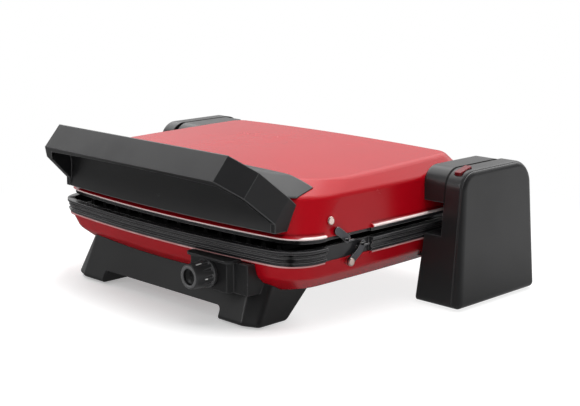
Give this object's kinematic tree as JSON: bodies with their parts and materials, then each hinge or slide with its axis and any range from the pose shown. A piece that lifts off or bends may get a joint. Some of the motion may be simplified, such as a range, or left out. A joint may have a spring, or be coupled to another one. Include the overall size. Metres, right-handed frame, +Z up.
{
  "type": "contact grill",
  "caption": "Countertop contact grill: ribbed cooking plates between red shells, hooded bar handle, lid on a floating hinge carried in rear pods, front stand with a control knob",
  "frame": {"origin": "centre of the bounding box on the surface the feet stand on, lid closed", "axes": "X runs across the grill to the right seen from the front, Y from the front to the hinge, Z up"},
  "size_m": [0.38, 0.28, 0.1346],
  "materials": {
    "red_enamel": "satin baked red coating on pressed steel",
    "plate_coating": "dark non-stick coating on cast metal",
    "element_steel": "heat-dulled steel tube",
    "bright_sheet": "bright rolled sheet",
    "black_moulding": "fine-grained heat-resistant moulding",
    "handle_moulding": "satin heat-resistant moulding",
    "knob_plastic": "satin black moulding",
    "red_plastic": "glossy red moulding",
    "slide_plastic": "natural self-lubricating plastic",
    "plated_steel": "zinc-plated steel",
    "black_steel": "blackened sheet steel",
    "bright_rivet": "bright domed rivet",
    "ceramic_white": "unglazed ceramic",
    "foot_rubber": "matte black rubber",
    "gland_plastic": "black flexible grommet"
  },
  "bodies": {
    "base": {"lower_shell": "red_enamel", "lower_plate": "plate_coating", "lower_element": "element_steel", "lower_reflector": "bright_sheet", "front_stand": "black_moulding", "thermostat_body": "ceramic_white", "thermostat_bracket": "plated_steel", "rear_leg_left": "black_moulding", "rear_leg_right": "black_moulding", "pod_cover_left": "black_moulding", "pod_cover_right": "black_moulding", "hinge_guide_left": "plated_steel", "hinge_guide_right": "plated_steel", "lower_clip_rivets": "bright_rivet", "leg_screws": "plated_steel", "stand_screws": "plated_steel", "front_foot_pads": "foot_rubber", "rear_foot_pads": "foot_rubber", "cord_gland": "gland_plastic", "terminal_block": "ceramic_white", "thermal_fuse": "plated_steel"},
    "hinge_carriage": {"hinge_block_left": "slide_plastic", "hinge_block_right": "slide_plastic", "hinge_pin_left": "plated_steel", "hinge_pin_right": "plated_steel"},
    "lid": {"upper_shell": "red_enamel", "upper_plate": "plate_coating", "upper_element": "element_steel", "upper_reflector": "bright_sheet", "hinge_arm_left": "black_moulding", "hinge_arm_right": "black_moulding", "handle": "handle_moulding", "handle_screws": "plated_steel", "arm_screws": "plated_steel", "upper_clip_rivets": "bright_rivet"},
    "control_knob": {"knob": "knob_plastic", "thermostat_shaft": "plated_steel"},
    "release": {"release_button": "red_plastic"},
    "upper_latch_left": {"upper_clip_left": "black_steel"},
    "upper_latch_right": {"upper_clip_right": "black_steel"},
    "lower_latch_left": {"lower_clip_left": "black_steel"},
    "lower_latch_right": {"lower_clip_right": "black_steel"}
  },
  "joints": [
    {"name": "lid_lift", "type": "slide", "parent": "base", "child": "hinge_carriage", "axis": [0, 0, 1], "range_m": [0, 0.015]},
    {"name": "lid_hinge", "type": "hinge", "parent": "hinge_carriage", "child": "lid", "pos_m": [0, 0.12, 0.0675], "axis": [-1, 0, 0], "range_deg": [0, 180]},
    {"name": "knob_turn", "type": "hinge", "parent": "base", "child": "control_knob", "pos_m": [0.067, -0.1134, 0.0384], "axis": [0, 1, 0], "range_deg": [0, 270]},
    {"name": "button_press", "type": "slide", "parent": "base", "child": "release", "axis": [0, 0.2419, -0.9703], "range_m": [0, 0.002], "stiffness_N_per_m": 400},
    {"name": "upper_latch_left_pivot", "type": "hinge", "parent": "lid", "child": "upper_latch_left", "pos_m": [-0.1474, -0.0555, 0.0746], "axis": [-1, 0, 0], "range_deg": [0, 30]},
    {"name": "upper_latch_right_pivot", "type": "hinge", "parent": "lid", "child": "upper_latch_right", "pos_m": [0.1474, -0.0555, 0.0746], "axis": [-1, 0, 0], "range_deg": [0, 30]},
    {"name": "lower_latch_left_pivot", "type": "hinge", "parent": "base", "child": "lower_latch_left", "pos_m": [-0.1474, -0.0415, 0.0485], "axis": [1, 0, 0], "range_deg": [0, 30]},
    {"name": "lower_latch_right_pivot", "type": "hinge", "parent": "base", "child": "lower_latch_right", "pos_m": [0.1474, -0.0415, 0.0485], "axis": [1, 0, 0], "range_deg": [0, 30]}
  ]
}
